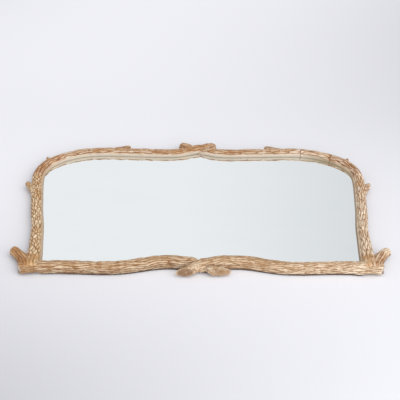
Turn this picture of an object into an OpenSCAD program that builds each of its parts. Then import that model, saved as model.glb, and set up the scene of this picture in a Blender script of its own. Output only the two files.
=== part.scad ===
// Overmantel mirror in a carved wooden frame of crossing branches.
// The mirror lies on its back: +Z leaves the glass, +Y is the top of the hung mirror.
// The origin is the middle of the outline, on the plane that the bumpers rest on.

/* [Frame] */
// Width over the two corner stubs
frame_w = 1556; // [1300:4:1900]
// Height over the crossing branch ends
frame_h = 930; // [800:2:1100]
// Middling width of a branch
branch_w = 44; // [42:1:50]
// Thickness of a branch from its flat back to its crown
branch_t = 42; // [40:1:50]

/* [Glass and backing] */
// Thickness of the mirror glass
glass_t = 5; // [4:1:6]
// Thickness of the backing board
board_t = 6; // [5:1:8]
// Depth of the backing board below the back of the frame
board_recess = 4; // [3:1:5]
// How far a middling branch laps over the glass
glass_lap = 10; // [8:1:12]
// Width of the ledge that the backing board is screwed to
board_ledge = 10; // [9:1:11]
// How far the inner side of a stile leans out over the glass
wall_lean = 8; // [4:1:10]
// Running gap round the glass and the board
edge_gap = 1; // [0.5:0.5:2]

/* [Joints] */
// Diameter of the dowels between the branches
dowel_d = 10; // [8:1:11]
// Length of the dowels between the branches
dowel_l = 60; // [40:2:70]
// Diameter of the dowels of the twigs
peg_d = 6; // [5:1:8]
// Length of the dowels of the twigs
peg_l = 32; // [24:2:36]
// Gap round a dowel for the glue
glue_gap = 0.1; // [0.05:0.05:0.2]

/* [Hangers] */
// Height of the hanger pins above the middle of the frame
hanger_y = 165; // [120:5:180]
// Distance of a hanger from the centre line of its stile
hanger_out = 5; // [4:1:6]
// Radius inside a hanger ring
ring_in = 10; // [8:1:11]
// Diameter of the ring wire
ring_wire = 4; // [3:0.5:4]
// Running clearance of the ring in its strap
pin_gap = 0.06; // [0.04:0.01:0.1]
// Width of a hanger strap
strap_w = 12; // [10:1:13]
// Thickness of a hanger strap
strap_t = 1.5; // [1.2:0.1:1.8]
// Distance between the two screws of a strap
strap_pitch = 20; // [16:1:26]

/* [Screws and bumpers] */
// Shank diameter of the wood screws
screw_d = 3.5; // [3:0.5:4]
// Length of the wood screws below the head
screw_l = 16; // [12:1:18]
// Height of the wall bumpers
bumper_h = 8; // [7.5:0.5:12]
// Diameter of the wall bumpers
bumper_d = 15; // [13:1:16]

/* [Hidden] */
$fn = 32;

// Heights of the stack, from the wall up to the face of the glass
back_z = bumper_h;
board_z = back_z + board_recess;
glass_z = board_z + board_t;
ledge_z = glass_z + glass_t;
crown_z = back_z + branch_t;
lap_z = back_z + branch_t / 2;

// The routes of the branches are drawn on a sheet of 1556 by 930 and stretch with the frame.
// Each point is [x, y, how much wider than a middling branch].
sheet = [1556, 930];
function place(p) = [p.x * frame_w / sheet.x, p.y * frame_h / sheet.y, branch_w + p.z];

// Bottom branch of the right side, from its tail past the middle to its end at the corner
over_tail = [[-118, -498, 4], [-67, -460, 4]];
bottom_rest = [[-22, -427, 2], [32, -403, 3], [90, -391, 4], [150, -389, 4], [200, -396, 3],
    [250, -408, 2], [320, -423, 0], [400, -429, -3], [500, -424, -1], [600, -423, 1],
    [680, -427, 2], [722, -430, 0], [734, -431, -12]];
bottom_route = [for (p = concat(over_tail, bottom_rest)) place(p)];

// The left one is its mirror image but for the tail, which runs flatter under the right one
under_tail = [[-110, -470, 2], [-56, -450, 5]];
under_route = [for (p = concat(under_tail, bottom_rest)) place(p)];

// Stile, shoulder and top branch of the right side, from the bottom rail to its tail
side_route = [for (p = [[677, -418, 12], [678, -334, 8], [680, -254, 3], [683, -169, 0],
    [690, -104, 0], [697, -44, 0], [702, 26, -1], [707, 91, -1], [711, 151, 0],
    [711, 206, 1], [702, 246, 1], [685, 280, 1], [662, 309, 1], [630, 336, 1],
    [605, 352, 1], [535, 382, 1], [470, 395, 1], [405, 398, 0], [345, 396, 0],
    [250, 392, -1], [150, 388, -1], [90, 392, 0], [40, 407, 0], [-8, 424, 1],
    [-50, 439, 0], [-72, 447, -6], [-80, 450, -24]]) place(p)];

// Stations of the side route where one piece of wood ends and the next begins
stile_end = 9;
corner_end = 14;
insert_end = 16;
// Stations of the bottom route past which it meets neither its twin nor the stile
lap_end = 5;
corner_start = 10;
lap_start = 20;
side_end = len(side_route) - 1;

// Stubs and twigs of the right side; each point is [x, y, width]
function shift(p) = [p.x * frame_w / sheet.x, p.y * frame_h / sheet.y, p.z];
stub_route = [for (p = [[706, -424, 44], [719, -387, 45], [738, -351, 45], [760, -327, 44],
    [763, -324, 38]]) shift(p)];
side_twig_route = [for (p = [[702, 68, 32], [725, 104, 29], [742, 132, 26], [750, 147, 22],
    [752, 151, 15]]) shift(p)];
shoulder_twig_route = [for (p = [[662, 302, 24], [672, 326, 18], [678, 344, 14],
    [680, 351, 8]]) shift(p)];
top_twig_route = [for (p = [[385, 396, 34], [349, 419, 28], [324, 433, 24], [314, 436, 22],
    [310, 437, 16]]) shift(p)];

// Catmull-Rom curve through hand-chosen points
steps = 3;
function blend(a, b, c, d, t) = 0.5 * (2 * b + (c - a) * t
    + (2 * a - 5 * b + 4 * c - d) * t * t + (3 * b - a - 3 * c + d) * t * t * t);
function curve(p) = let (last = len(p) - 1)
    [for (i = [0:last - 1], k = [0:steps - 1])
        blend(p[max(i - 1, 0)], p[i], p[i + 1], p[min(i + 2, last)], k / steps), p[last]];
bottom_curve = curve(bottom_route);
under_curve = curve(under_route);
side_curve = curve(side_route);

// Direction along a curve at ring i, and the unit vector to its left, which is inwards
function along(c, i) = let (d = c[min(i + 1, len(c) - 1)] - c[max(i - 1, 0)],
    f = [d.x, d.y]) f / norm(f);
function inwards(c, i) = let (f = along(c, i)) [-f.y, f.x];
function beside(c, i, d) = [c[i].x, c[i].y] + d * inwards(c, i);

// Section of a branch: an arch over a flat back, widest at a share of its thickness. full is
// 1 where the flanks are fuller than an ellipse and 0 on the tails and stubs; lean is how far
// the planed inner side leans out over the glass; grow widens the section all round into the
// hollow that a neighbour is coped with.
section_sides = 20;
belly = 0.45;
keel = 0.6;
shoulder_power = 0.6;
foot_power = 0.18;
function power_at(a) = sin(a) < -0.01 ? foot_power : cos(a) > 0 ? shoulder_power : 1;
function branch_section(w, full, lean, grow) = [for (k = [0:section_sides - 1]) let (
    a = 360 * k / section_sides,
    power = 1 - full * (1 - power_at(a)),
    u = sign(cos(a)) * pow(abs(cos(a)), power),
    v = branch_t * (belly + (sin(a) > 0 ? 1 - belly : keel) * sin(a)),
    wall = lean * (k == 0 ? 0.65 : k == section_sides - 1 ? 1 : 0))
    [u * w / 2 + wall + grow * cos(a), back_z + max(-grow, v + grow * sin(a))]];
// Section of a twig: a circle at half the height of the frame
twig_sides = 12;
function twig_section(w) = [for (k = [0:twig_sides - 1])
    let (a = 360 * k / twig_sides) [w / 2 * cos(a), lap_z + w / 2 * sin(a)]];

// Sweeps a section along rings a to b of a curve; the section gets the ring's width and number
module sweep(c, section, a, b) {
    rings = [for (i = [a:b]) let (s = section(c[i].z, i), n = inwards(c, i))
        [for (q = s) [c[i].x + n.x * q.x, c[i].y + n.y * q.x, q.y]]];
    m = len(rings[0]);
    count = len(rings);
    walls = [for (i = [0:count - 2], k = [0:m - 1]) let (
        p = i * m + k, q = i * m + (k + 1) % m, r = p + m, s = q + m)
        each [[p, r, q], [q, r, s]]];
    polyhedron([for (r = rings) each r],
        [[for (k = [0:m - 1]) k], each walls, [for (k = [m - 1:-1:0]) (count - 1) * m + k]],
        convexity = 6);
}

// Along the routes, by station: where the flanks are full and how far the inner side leans
bottom_full = [[2, 0], [3, 1], [12, 1], [14, 0]];
side_full = [[23, 1], [24, 0]];
side_lean = [[stile_end, wall_lean], [corner_end, wall_lean / 8], [19, wall_lean / 8], [20, 0]];
bottom_end = len(bottom_route) - 1;
module bottom_branch(c, a = 0, b = bottom_end, grow = 0)
    sweep(c, function(w, i) branch_section(w, lookup(i / steps, bottom_full), 0, grow),
        a * steps, b * steps);
module over_branch(a = 0, b = bottom_end, grow = 0) bottom_branch(bottom_curve, a, b, grow);
module under_branch(a = 0, b = bottom_end, grow = 0) bottom_branch(under_curve, a, b, grow);
module side_branch(a, b, grow = 0)
    sweep(side_curve, function(w, i) branch_section(w, lookup(i / steps, side_full),
        lookup(i / steps, side_lean), grow), a * steps, b * steps);
module stub()
    let (c = curve(stub_route)) sweep(c, function(w, i) branch_section(w, 0, 0, 0), 0, len(c) - 1);
module twig(route)
    let (c = curve(route)) sweep(c, function(w, i) twig_section(w), 0, len(c) - 1);

// Outline at a distance inside the centre lines, closed over both halves; its corners lie
// halfway between the rings, so that no wall of the rebate runs through an edge of a ring
function edge_points(c, d) = [for (i = [0:len(c) - 2]) (beside(c, i, d) + beside(c, i + 1, d)) / 2];
function inner_edge(d) = let (
    low = edge_points(bottom_curve, d),
    up = edge_points(side_curve, d),
    foot_x = lookup(place([0, -374, 0]).y, [for (p = up) [p.y, p.x]]),
    foot_y = lookup(foot_x, low),
    half = [[0, lookup(0, low)], each [for (p = low) if (p.x > 1 && p.x < foot_x - 1) p],
        [foot_x, foot_y],
        each [for (i = [0:len(up) - 1]) if (up[i].y > foot_y + 5 && up[i].x > 1) up[i]],
        [0, lookup(0, [for (i = [len(up) - 1:-1:insert_end * steps]) up[i]])]])
    [each half, each [for (i = [len(half) - 2:-1:1]) [-half[i].x, half[i].y]]];

glass_wall = branch_w / 2 - glass_lap;
board_wall = glass_wall - board_ledge;
module glass_shape(d) polygon(inner_edge(d));

// Stepped rebate in the back of the frame for the glass and the board
module rebate() {
    translate([0, 0, back_z - 1]) linear_extrude(board_recess + board_t + 1) glass_shape(board_wall);
    translate([0, 0, glass_z - 1]) linear_extrude(glass_t + 1) glass_shape(glass_wall);
}

module both_sides() {
    children();
    mirror([1, 0, 0]) children();
}

// A rod of diameter d and length l, centred on p, along the direction f in the plane
module rod(p, f, z, d, l) translate([p.x, p.y, z]) rotate([0, 90, atan2(f.y, f.x)])
    translate([0, 0, -l / 2]) cylinder(d = d, h = l);

// Dowels across the butt joints; gap widens them into their holes
outer_dowel = [-8, back_z + 0.27 * branch_t];
inner_dowel = [2, back_z + 0.66 * branch_t];
module butt_dowels(station, gap) {
    i = station * steps;
    for (q = [outer_dowel, inner_dowel])
        rod(beside(side_curve, i, q.x), along(side_curve, i), q.y, dowel_d + 2 * gap, dowel_l + 2 * gap);
}
module foot_dowels(gap) {
    y = bottom_route[12].y + 22;
    for (q = [outer_dowel, inner_dowel])
        rod([side_curve[0].x - q.x, y], [0, 1], q.y, dowel_d + 2 * gap, dowel_l + 2 * gap);
}
bottom_lap = [0, lookup(0, [for (p = bottom_curve) [p.x, p.y]])];
top_lap = [0, lookup(0, [for (i = [len(side_curve) - 1:-1:insert_end * steps])
    [side_curve[i].x, side_curve[i].y]])];
lap_dowel_z = glass_z + 1.5;
lap_dowel_l = crown_z - 8 - lap_dowel_z;
module lap_dowels(gap) for (p = [bottom_lap, top_lap])
    translate([p.x, p.y, lap_dowel_z - gap])
        cylinder(d = dowel_d + 2 * gap, h = lap_dowel_l + 2 * gap);
module joint_dowel_set(gap) {
    both_sides() {
        butt_dowels(stile_end, gap);
        butt_dowels(corner_end, gap);
        foot_dowels(gap);
    }
    butt_dowels(insert_end, gap);
    lap_dowels(gap);
}
module peg(route, gap)
    rod(route[1], [route[1].x - route[0].x, route[1].y - route[0].y], lap_z, peg_d + 2 * gap, peg_l + 2 * gap);
module twig_dowel_set(gap) both_sides() {
    peg(stub_route, gap);
    peg(side_twig_route, gap);
    peg(shoulder_twig_route, gap);
    peg(top_twig_route, gap);
}

// Wood screws: the head sits below z, the shank goes up from it
head_d = 2 * screw_d;
head_h = 0.5 * screw_d;
hole_gap = 0.1;
module sunk_screw(p, z, gap) translate([p.x, p.y, z]) {
    cylinder(d1 = head_d + 2 * gap, d2 = screw_d + 2 * gap, h = head_h);
    cylinder(d = screw_d + 2 * gap, h = screw_l + gap);
}
module pan_screw(p, z, gap) translate([p.x, p.y, z]) {
    translate([0, 0, -head_h]) cylinder(d = head_d, h = head_h);
    cylinder(d = screw_d + 2 * gap, h = screw_l + gap);
}

// Stations of the screws round the backing board
board_screw_d = board_wall + board_ledge / 2 + 0.5;
module board_screw_set(gap) both_sides() {
    for (i = [5, 8, 11]) sunk_screw(beside(bottom_curve, i * steps, board_screw_d), board_z, gap);
    for (i = [1, 4, 7, 11, 13, 17, 20])
        sunk_screw(beside(side_curve, i * steps, board_screw_d), board_z, gap);
}

// Bumpers stand on the flat back, outside the rebate
bumper_spot = board_wall - bumper_d / 2 - 0.5;
bumper_sites = [each [for (i = [7, 11]) beside(bottom_curve, i * steps, bumper_spot)],
    each [for (i = [5, 12, 20]) beside(side_curve, i * steps, bumper_spot)]];
module bumper_screw_set(gap) both_sides() for (p = bumper_sites)
    pan_screw(p, back_z / 2, gap);

// Hangers on the back of the stiles
wire_r = ring_wire / 2;
barrel_r = wire_r + pin_gap + strap_t;
ring_r = ring_in + wire_r;
pin_z = back_z - barrel_r;
hanger_x = lookup(hanger_y, [for (i = [0:stile_end * steps]) [side_curve[i].y, side_curve[i].x]]) + hanger_out;
strap_screw_y = [for (k = [0, 1]) hanger_y - ring_r - wire_r - head_d / 2 - 2 - k * strap_pitch];
strap_end_y = strap_screw_y[1] - head_d / 2 - 2;
module strap_screw_set(gap) both_sides() for (y = strap_screw_y)
    pan_screw([hanger_x, y], back_z - strap_t, gap);

// Everything that is drilled or routed out of the wood
module drillings() {
    rebate();
    joint_dowel_set(glue_gap);
    twig_dowel_set(glue_gap);
    board_screw_set(hole_gap);
    bumper_screw_set(hole_gap);
    strap_screw_set(hole_gap);
}
module lower_half() translate([-frame_w, -frame_h, 0]) cube([2 * frame_w, 2 * frame_h, lap_z]);
module upper_half() translate([-frame_w, -frame_h, lap_z]) cube([2 * frame_w, 2 * frame_h, branch_t]);

// A flat saw cut through the point p: it takes away what lies on the side that the angle
// turn points to, leaning back by tilt so that the sawn face looks up a little
saw = 400;
module saw_cut(p, turn, tilt) translate([p.x, p.y, lap_z]) rotate([0, -tilt, turn])
    translate([0, -saw / 2, -saw / 2]) cube(saw);
over_cut = [-73, -460, 0];
under_cut = [35, -457, 0];
corner_cut = [731, -442, 0];
module over_tail_cut() saw_cut(shift(over_cut), -92, 10);
module under_tail_cut() saw_cut(shift(under_cut), -84, 22);
module rail_end_cut() saw_cut(shift(corner_cut), -48, 4);

bark = "burlywood";
module bottom_rail_right() color(bark) difference() {
    over_branch();
    intersection() { mirror([1, 0, 0]) under_branch(0, lap_end, glue_gap); lower_half(); }
    over_tail_cut();
    rail_end_cut();
    drillings();
}
module bottom_rail_left() color(bark) difference() {
    mirror([1, 0, 0]) under_branch();
    intersection() { over_branch(0, lap_end, glue_gap); upper_half(); }
    under_tail_cut();
    mirror([1, 0, 0]) rail_end_cut();
    drillings();
}
module right_stile() color(bark) difference() {
    side_branch(0, stile_end);
    over_branch(corner_start, bottom_end, glue_gap);
    drillings();
}
module left_stile() color(bark) mirror([1, 0, 0]) right_stile();
module top_corner_right() color(bark) difference() {
    side_branch(stile_end, corner_end);
    drillings();
}
module top_corner_left() color(bark) mirror([1, 0, 0]) top_corner_right();
module top_rail_insert() color(bark) difference() {
    side_branch(corner_end, insert_end);
    drillings();
}
module top_rail_right() color(bark) difference() {
    side_branch(insert_end, side_end);
    intersection() { mirror([1, 0, 0]) side_branch(lap_start, side_end, glue_gap); upper_half(); }
    drillings();
}
module top_rail_left() color(bark) difference() {
    mirror([1, 0, 0]) side_branch(corner_end, side_end);
    intersection() { side_branch(lap_start, side_end, glue_gap); lower_half(); }
    drillings();
}

module corner_stub_right() color(bark) difference() {
    stub();
    over_branch(corner_start, bottom_end, glue_gap);
    side_branch(0, 2, glue_gap);
    twig_dowel_set(glue_gap);
}
module corner_stub_left() color(bark) mirror([1, 0, 0]) corner_stub_right();
module side_twig_right() color(bark) difference() {
    twig(side_twig_route);
    side_branch(5, stile_end, glue_gap);
    twig_dowel_set(glue_gap);
}
module side_twig_left() color(bark) mirror([1, 0, 0]) side_twig_right();
module shoulder_twig_right() color(bark) difference() {
    twig(shoulder_twig_route);
    side_branch(stile_end, corner_end, glue_gap);
    twig_dowel_set(glue_gap);
}
module shoulder_twig_left() color(bark) mirror([1, 0, 0]) shoulder_twig_right();
module top_twig_right() color(bark) difference() {
    twig(top_twig_route);
    side_branch(corner_end, lap_start, glue_gap);
    twig_dowel_set(glue_gap);
}
module top_twig_left() color(bark) mirror([1, 0, 0]) top_twig_right();

module mirror_glass() color("gainsboro") translate([0, 0, glass_z])
    linear_extrude(glass_t) glass_shape(glass_wall + edge_gap);
module backing_board() color("tan") difference() {
    translate([0, 0, board_z]) linear_extrude(board_t) glass_shape(board_wall + edge_gap);
    board_screw_set(hole_gap);
}
module backing_screws() color("goldenrod") board_screw_set(0);
module joint_dowels() color("wheat") joint_dowel_set(0);
module twig_dowels() color("wheat") twig_dowel_set(0);

module hanger_strap_right() color("silver") difference() {
    union() {
        translate([hanger_x - strap_w / 2, strap_end_y, back_z - strap_t])
            cube([strap_w, hanger_y - strap_end_y, strap_t]);
        translate([hanger_x - strap_w / 2, hanger_y, pin_z]) rotate([0, 90, 0])
            cylinder(r = barrel_r, h = strap_w);
    }
    translate([hanger_x - strap_w, hanger_y, pin_z]) rotate([0, 90, 0])
        cylinder(r = wire_r + pin_gap, h = 2 * strap_w);
    for (y = strap_screw_y) translate([hanger_x, y, back_z - 2 * strap_t])
        cylinder(d = screw_d + 2 * hole_gap, h = 3 * strap_t);
}
module hanger_strap_left() color("silver") mirror([1, 0, 0]) hanger_strap_right();
module hanger_screws() color("silver") strap_screw_set(0);
module hanger_ring(x) color("silver") translate([x, hanger_y, pin_z]) {
    rotate_extrude(angle = 180) translate([ring_r, 0]) circle(r = wire_r);
    translate([-ring_r, 0, 0]) rotate([0, 90, 0]) cylinder(r = wire_r, h = 2 * ring_r);
    for (s = [-1, 1]) translate([s * ring_r, 0, 0]) sphere(r = wire_r);
}
module hanger_ring_right() hanger_ring(hanger_x);
module hanger_ring_left() hanger_ring(-hanger_x);

module wall_bumpers() color("dimgray") both_sides() for (p = bumper_sites) difference() {
    translate([p.x, p.y, 0]) cylinder(d = bumper_d, h = bumper_h);
    translate([p.x, p.y, -1]) cylinder(d = screw_d + 2 * hole_gap, h = bumper_h + 2);
    translate([p.x, p.y, -1]) cylinder(d = head_d + 1, h = 1 + back_z / 2);
}
module bumper_screws() color("silver") bumper_screw_set(0);

bottom_rail_left();
bottom_rail_right();
left_stile();
right_stile();
top_corner_left();
top_corner_right();
top_rail_left();
top_rail_right();
top_rail_insert();
corner_stub_left();
corner_stub_right();
side_twig_left();
side_twig_right();
shoulder_twig_left();
shoulder_twig_right();
top_twig_left();
top_twig_right();
mirror_glass();
backing_board();
backing_screws();
joint_dowels();
twig_dowels();
hanger_strap_left();
hanger_strap_right();
hanger_screws();
hanger_ring_left();
hanger_ring_right();
wall_bumpers();
bumper_screws();
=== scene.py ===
# %% [markdown]
# # A mirror in a carved frame of branches
# The frame is carved from solid wood so that it looks like branches: two cross at the bottom,
# two arch over the shoulders and cross at the top. A pale lime wash is rubbed into the bark.
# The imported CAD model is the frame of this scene. It has the joints, the sizes and the hardware;
# this script carves the bark, and gives every piece its finish.

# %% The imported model
import math

import bpy
import numpy as np
from mathutils import Matrix


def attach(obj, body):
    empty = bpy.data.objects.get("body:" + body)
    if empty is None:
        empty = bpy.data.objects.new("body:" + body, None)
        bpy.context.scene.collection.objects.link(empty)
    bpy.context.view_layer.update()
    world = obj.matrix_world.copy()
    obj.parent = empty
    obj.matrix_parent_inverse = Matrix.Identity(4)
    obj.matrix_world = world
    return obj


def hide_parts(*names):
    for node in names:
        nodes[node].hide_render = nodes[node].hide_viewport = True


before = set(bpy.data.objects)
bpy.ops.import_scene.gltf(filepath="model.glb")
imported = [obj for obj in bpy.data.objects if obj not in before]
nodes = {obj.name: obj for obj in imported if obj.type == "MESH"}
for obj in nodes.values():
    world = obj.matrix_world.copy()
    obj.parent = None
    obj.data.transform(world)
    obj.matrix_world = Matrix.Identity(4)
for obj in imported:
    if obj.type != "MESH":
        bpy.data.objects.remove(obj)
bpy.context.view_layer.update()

# %% [markdown]
# ## The centre lines
# A branch wanders, so each one follows a smooth curve through a few points. The points are the
# ones that the CAD source uses: x and y in millimetres, and how much wider than 44 mm the branch
# is there. A Catmull-Rom curve passes through every point, so the carved skin lies exactly
# where the CAD solid lies.

# %% Measures in metres
MM = 0.001
WIDTH = 44 * MM
THICK = 42 * MM
BACK_Z = 8 * MM
LEDGE_Z = 23 * MM
LAP_Z = 29 * MM
# The section is widest at this share of its thickness, and its lower half is this deep.
BELLY = 0.45
KEEL = 0.60

# %% The routes of the right half
BOTTOM_ROUTE = [[-118, -498, 4], [-67, -460, 4], [-22, -427, 2], [32, -403, 3], [90, -391, 4],
                [150, -389, 4], [200, -396, 3], [250, -408, 2], [320, -423, 0], [400, -429, -3],
                [500, -424, -1], [600, -423, 1], [680, -427, 2], [722, -430, 0],
                [734, -431, -12]]
UNDER_TAIL = [[-110, -470, 2], [-56, -450, 5]]
SIDE_ROUTE = [[677, -438, 14], [678, -334, 8], [680, -254, 3], [683, -169, 0], [690, -104, 0],
              [697, -44, 0], [702, 26, -1], [707, 91, -1], [711, 151, 0], [711, 206, 1],
              [702, 246, 1], [685, 280, 1], [662, 309, 1], [630, 336, 1], [605, 352, 1],
              [535, 382, 1], [470, 395, 1], [405, 398, 0], [345, 396, 0], [250, 392, -1],
              [150, 388, -1], [90, 392, 0], [40, 407, 0], [-8, 424, 1], [-50, 439, 0],
              [-72, 447, -6], [-80, 450, -24]]
STUB_ROUTE = [[700, -437, 4], [719, -387, 1], [738, -351, 1], [760, -327, 0], [763, -324, -6]]
SIDE_TWIG_ROUTE = [[702, 68, -12], [725, 104, -15], [742, 132, -18], [750, 147, -22],
                   [752, 151, -29]]
SHOULDER_TWIG_ROUTE = [[662, 302, -20], [672, 326, -26], [678, 344, -30], [680, 351, -36]]
TOP_TWIG_ROUTE = [[385, 396, -10], [349, 419, -16], [324, 433, -20], [314, 436, -22],
                  [310, 437, -28]]
# Where a route is sawn into pieces, as the number of one of its points.
RAIL_FOOT = 12
STILE_END = 9
CORNER_END = 14
INSERT_END = 16
PAST_TOP = 23
SIDE_END = 26
# The wall over the glass leans out by so many millimetres at these points of the side route.
LEAN_AT = [0, 9, 14, 19, 20, 26]
LEAN = [8, 8, 1, 1, 0, 0]
FINE = 24


def trace(route):
    """A smooth line through the points of a route.

    Between points b and c, with a before and d after, the place at t (0 to 1) is half of
    2b + (c-a)t + (2a-5b+4c-d)t^2 + (3b-a-3c+d)t^3. Returns the distance along the line, the
    place, the width and the unit direction at each of FINE samples per stretch, and the
    distance along at each point of the route.
    """
    p = np.array(route, float) * MM
    p[:, 2] += WIDTH
    last = len(p) - 1
    i = np.arange(last)
    a, b, c, d = (p[k][:, None] for k in (np.maximum(i - 1, 0), i, i + 1, np.minimum(i + 2, last)))
    t = (np.arange(FINE) / FINE)[None, :, None]
    curve = 0.5 * (2 * b + (c - a) * t + (2 * a - 5 * b + 4 * c - d) * t ** 2
                   + (3 * b - a - 3 * c + d) * t ** 3)
    curve = np.vstack([curve.reshape(-1, 3), p[-1:]])
    step = np.linalg.norm(np.diff(curve[:, :2], axis=0), axis=1)
    s = np.concatenate([[0], np.cumsum(step)])
    way = np.gradient(curve[:, :2], s, axis=0)
    way /= np.linalg.norm(way, axis=1, keepdims=True)
    return {"s": s, "x": curve[:, 0], "y": curve[:, 1], "w": curve[:, 2],
            "fx": way[:, 0], "fy": way[:, 1], "mark": s[::FINE], "lean": 0 * s}


bottom_line = trace(BOTTOM_ROUTE)
under_line = trace(UNDER_TAIL + BOTTOM_ROUTE[2:])
side_line = trace(SIDE_ROUTE)
side_line["lean"] = np.interp(side_line["s"], side_line["mark"][LEAN_AT], np.array(LEAN) * MM)
stub_line = trace(STUB_ROUTE)
side_twig_line = trace(SIDE_TWIG_ROUTE)
shoulder_twig_line = trace(SHOULDER_TWIG_ROUTE)
top_twig_line = trace(TOP_TWIG_ROUTE)
print("bottom branch %.3f m, side branch %.3f m long" % (bottom_line["s"][-1], side_line["s"][-1]))

# %% [markdown]
# ## The section of a branch
# Seen from its end a branch is an arch over a flat back, with two steps routed out of the inner
# side: the upper one holds the glass and the lower one the backing board. Over the glass the
# inner side is planed to a low wall. It leans out over the glass at the stiles and stands nearly
# upright at the top. The arch is a row of angles, spaced so that the skin between two of them
# is equally long everywhere. The steps and the back are ten more points. The tails and the
# stubs have neither steps nor wall, and are round below as well.

# %% Angles round the arch
# The distance between neighbouring points of a skin, and the angles where the arch ends.
ACROSS = 1.2 * MM
ALONG = 1.25 * MM
OUTER_FOOT = math.pi + math.asin(BELLY / KEEL)
LIP = -math.asin((BELLY - (LEDGE_Z - BACK_Z) / THICK) / KEEL)
WALL_TOP = math.radians(18)
MIDDLE_LEAN = 5 * MM
INNER_POWER = 0.6
FOOT_POWER = 0.18


def smooth(x, low, high):
    """0 below low, 1 above high, and between them 3t^2 - 2t^3 of the way."""
    t = np.clip((x - low) / (high - low), 0, 1)
    return t * t * (3 - 2 * t)


def arch_point(angle, width, lean=MIDDLE_LEAN):
    """Place (u inwards, z up) on the routed section.

    u is half the width times a power of the cosine, and z is the back plus the thickness
    times belly plus share times sine. The power is 1 on the outer shoulder, below 1 where
    the section is fuller than an ellipse. Below WALL_TOP the inner side is a straight wall
    that leans out by lean over the glass.
    """
    cosine = np.cos(angle)
    sine = np.sin(angle)
    share = np.where(sine > 0, 1 - BELLY, KEEL)
    power = np.where(sine < 0, FOOT_POWER, np.where(cosine > 0, INNER_POWER, 1.0))
    u = width / 2 * np.sign(cosine) * np.abs(cosine) ** power
    z = BACK_Z + np.maximum(0, THICK * (BELLY + share * sine))
    top_u = width / 2 * math.cos(WALL_TOP) ** INNER_POWER
    top_z = BACK_Z + THICK * (BELLY + (1 - BELLY) * math.sin(WALL_TOP))
    fall = np.clip((top_z - z) / (top_z - LEDGE_Z), 0, 1)
    wall_u = top_u + (width / 2 + lean - top_u) * fall
    return np.where((cosine > 0) & (angle < WALL_TOP), wall_u, u), z


def even_angles(first, last, place):
    """Angles from first to last whose points are ACROSS apart, and the length up to each."""
    many = np.linspace(first, last, 2000)
    u, z = place(many, WIDTH)
    length = np.concatenate([[0], np.cumsum(np.hypot(np.diff(u), np.diff(z)))])
    even = np.linspace(0, length[-1], int(round(length[-1] / ACROSS)) + 1)
    return np.interp(even, length, many), even


ARCH, ARCH_G = even_angles(OUTER_FOOT, LIP, arch_point)
# The ten points of the steps and the back, and where they lie on a round section.
STEPS_U = np.array([17, 12, 12, 12, 7, 2, 2, 2, -4, -9.5]) * MM
STEPS_Z = np.array([23, 23, 20.5, 18, 18, 18, 13, 8, 8, 8]) * MM
UNDER = np.radians(np.linspace(-18, -122, len(STEPS_U)))
ROUND_CROWN = 0.50
ROUND_KEEL = 0.38
THIN = WIDTH - 5 * MM
WALL_G = float(np.interp(-WALL_TOP, -ARCH, ARCH_G))
slope_u, slope_z = (np.gradient(part, ARCH_G) for part in arch_point(ARCH, WIDTH))
OUT_U = -slope_z / np.hypot(slope_u, slope_z)
OUT_Z = slope_u / np.hypot(slope_u, slope_z)
print("skin across a branch: %.1f mm in %d steps" % (ARCH_G[-1] / MM, len(ARCH)))


# %% Place of any point of the skin
def at(line, key, s):
    """The value of a line at distance s along it."""
    return np.interp(s, line["s"], line[key])


def lay(line, s, u, z, side):
    """Puts section points (u, z) at distance s along a line: the place is the line's point
    plus u times the unit vector to its left. side -1 mirrors the right half to the left."""
    x = at(line, "x", s) - u * at(line, "fy", s)
    y = at(line, "y", s) + u * at(line, "fx", s)
    return np.stack([side * x, y, z + 0 * x], axis=-1)


def branch_skin(line, s, side, step):
    """Places and outward normals on a branch. s has one row per ring and one column per
    point of the section. Where step is 1 the branch has its wall and its routed steps; where
    it is 0 the section is an ellipse, lower where the branch is thin."""
    width = at(line, "w", s)
    count = len(ARCH)
    angle = np.concatenate([ARCH, UNDER])[None, :] + 0 * s
    cosine = np.cos(angle)
    sine = np.sin(angle)
    share = np.where(sine > 0, ROUND_CROWN, ROUND_KEEL) * np.minimum(1, width / THIN)
    round_u = width / 2 * cosine
    round_z = BACK_Z + THICK * (BELLY + share * sine)
    u, z = arch_point(angle[:, :count], width[:, :count], at(line, "lean", s[:, :count]))
    u = np.concatenate([u, STEPS_U + 0 * s[:, count:]], axis=1)
    z = np.concatenate([z, STEPS_Z + 0 * s[:, count:]], axis=1)
    u = round_u + (u - round_u) * step
    z = round_z + (z - round_z) * step
    size = np.hypot(cosine, sine * width / THICK)
    out_u = np.concatenate([OUT_U, 0 * STEPS_U])
    out_z = np.concatenate([OUT_Z, 0 * STEPS_U])
    nu = cosine / size * (1 - step) + out_u * step
    nz = sine * width / THICK / size * (1 - step) + out_z * step
    normal = lay(line, s, nu, nz, side) - lay(line, s, 0 * nu, 0 * nz, side)
    return lay(line, s, u, z, side), normal


def twig_skin(line, s, side, step):
    """A twig is round, and its centre is at half the thickness of the frame."""
    width = at(line, "w", s)
    count = s.shape[1]
    angle = (1.5 * math.pi - 2 * math.pi * np.arange(count) / count)[None, :] + 0 * s
    nu, nz = np.cos(angle), np.sin(angle)
    normal = lay(line, s, nu, nz, side) - lay(line, s, 0 * nu, 0 * nz, side)
    return lay(line, s, nu * width / 2, LAP_Z + nz * width / 2, side), normal


# %% [markdown]
# ## The carved bark
# The carver cut the bark as a net of long plates with narrow grooves between them. A noise
# texture can't give a groove of even width, so the net is worked out: every plate has a
# centre on a staggered grid that is shaken a little, a point of the skin belongs to the
# nearest centre, and its distance to the border with the next plate gives the depth. The
# same distance is kept as an attribute, and the colour in the grooves follows the carving.
# Towards a foot and on the stubs the plates give way to long ridges.

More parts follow.
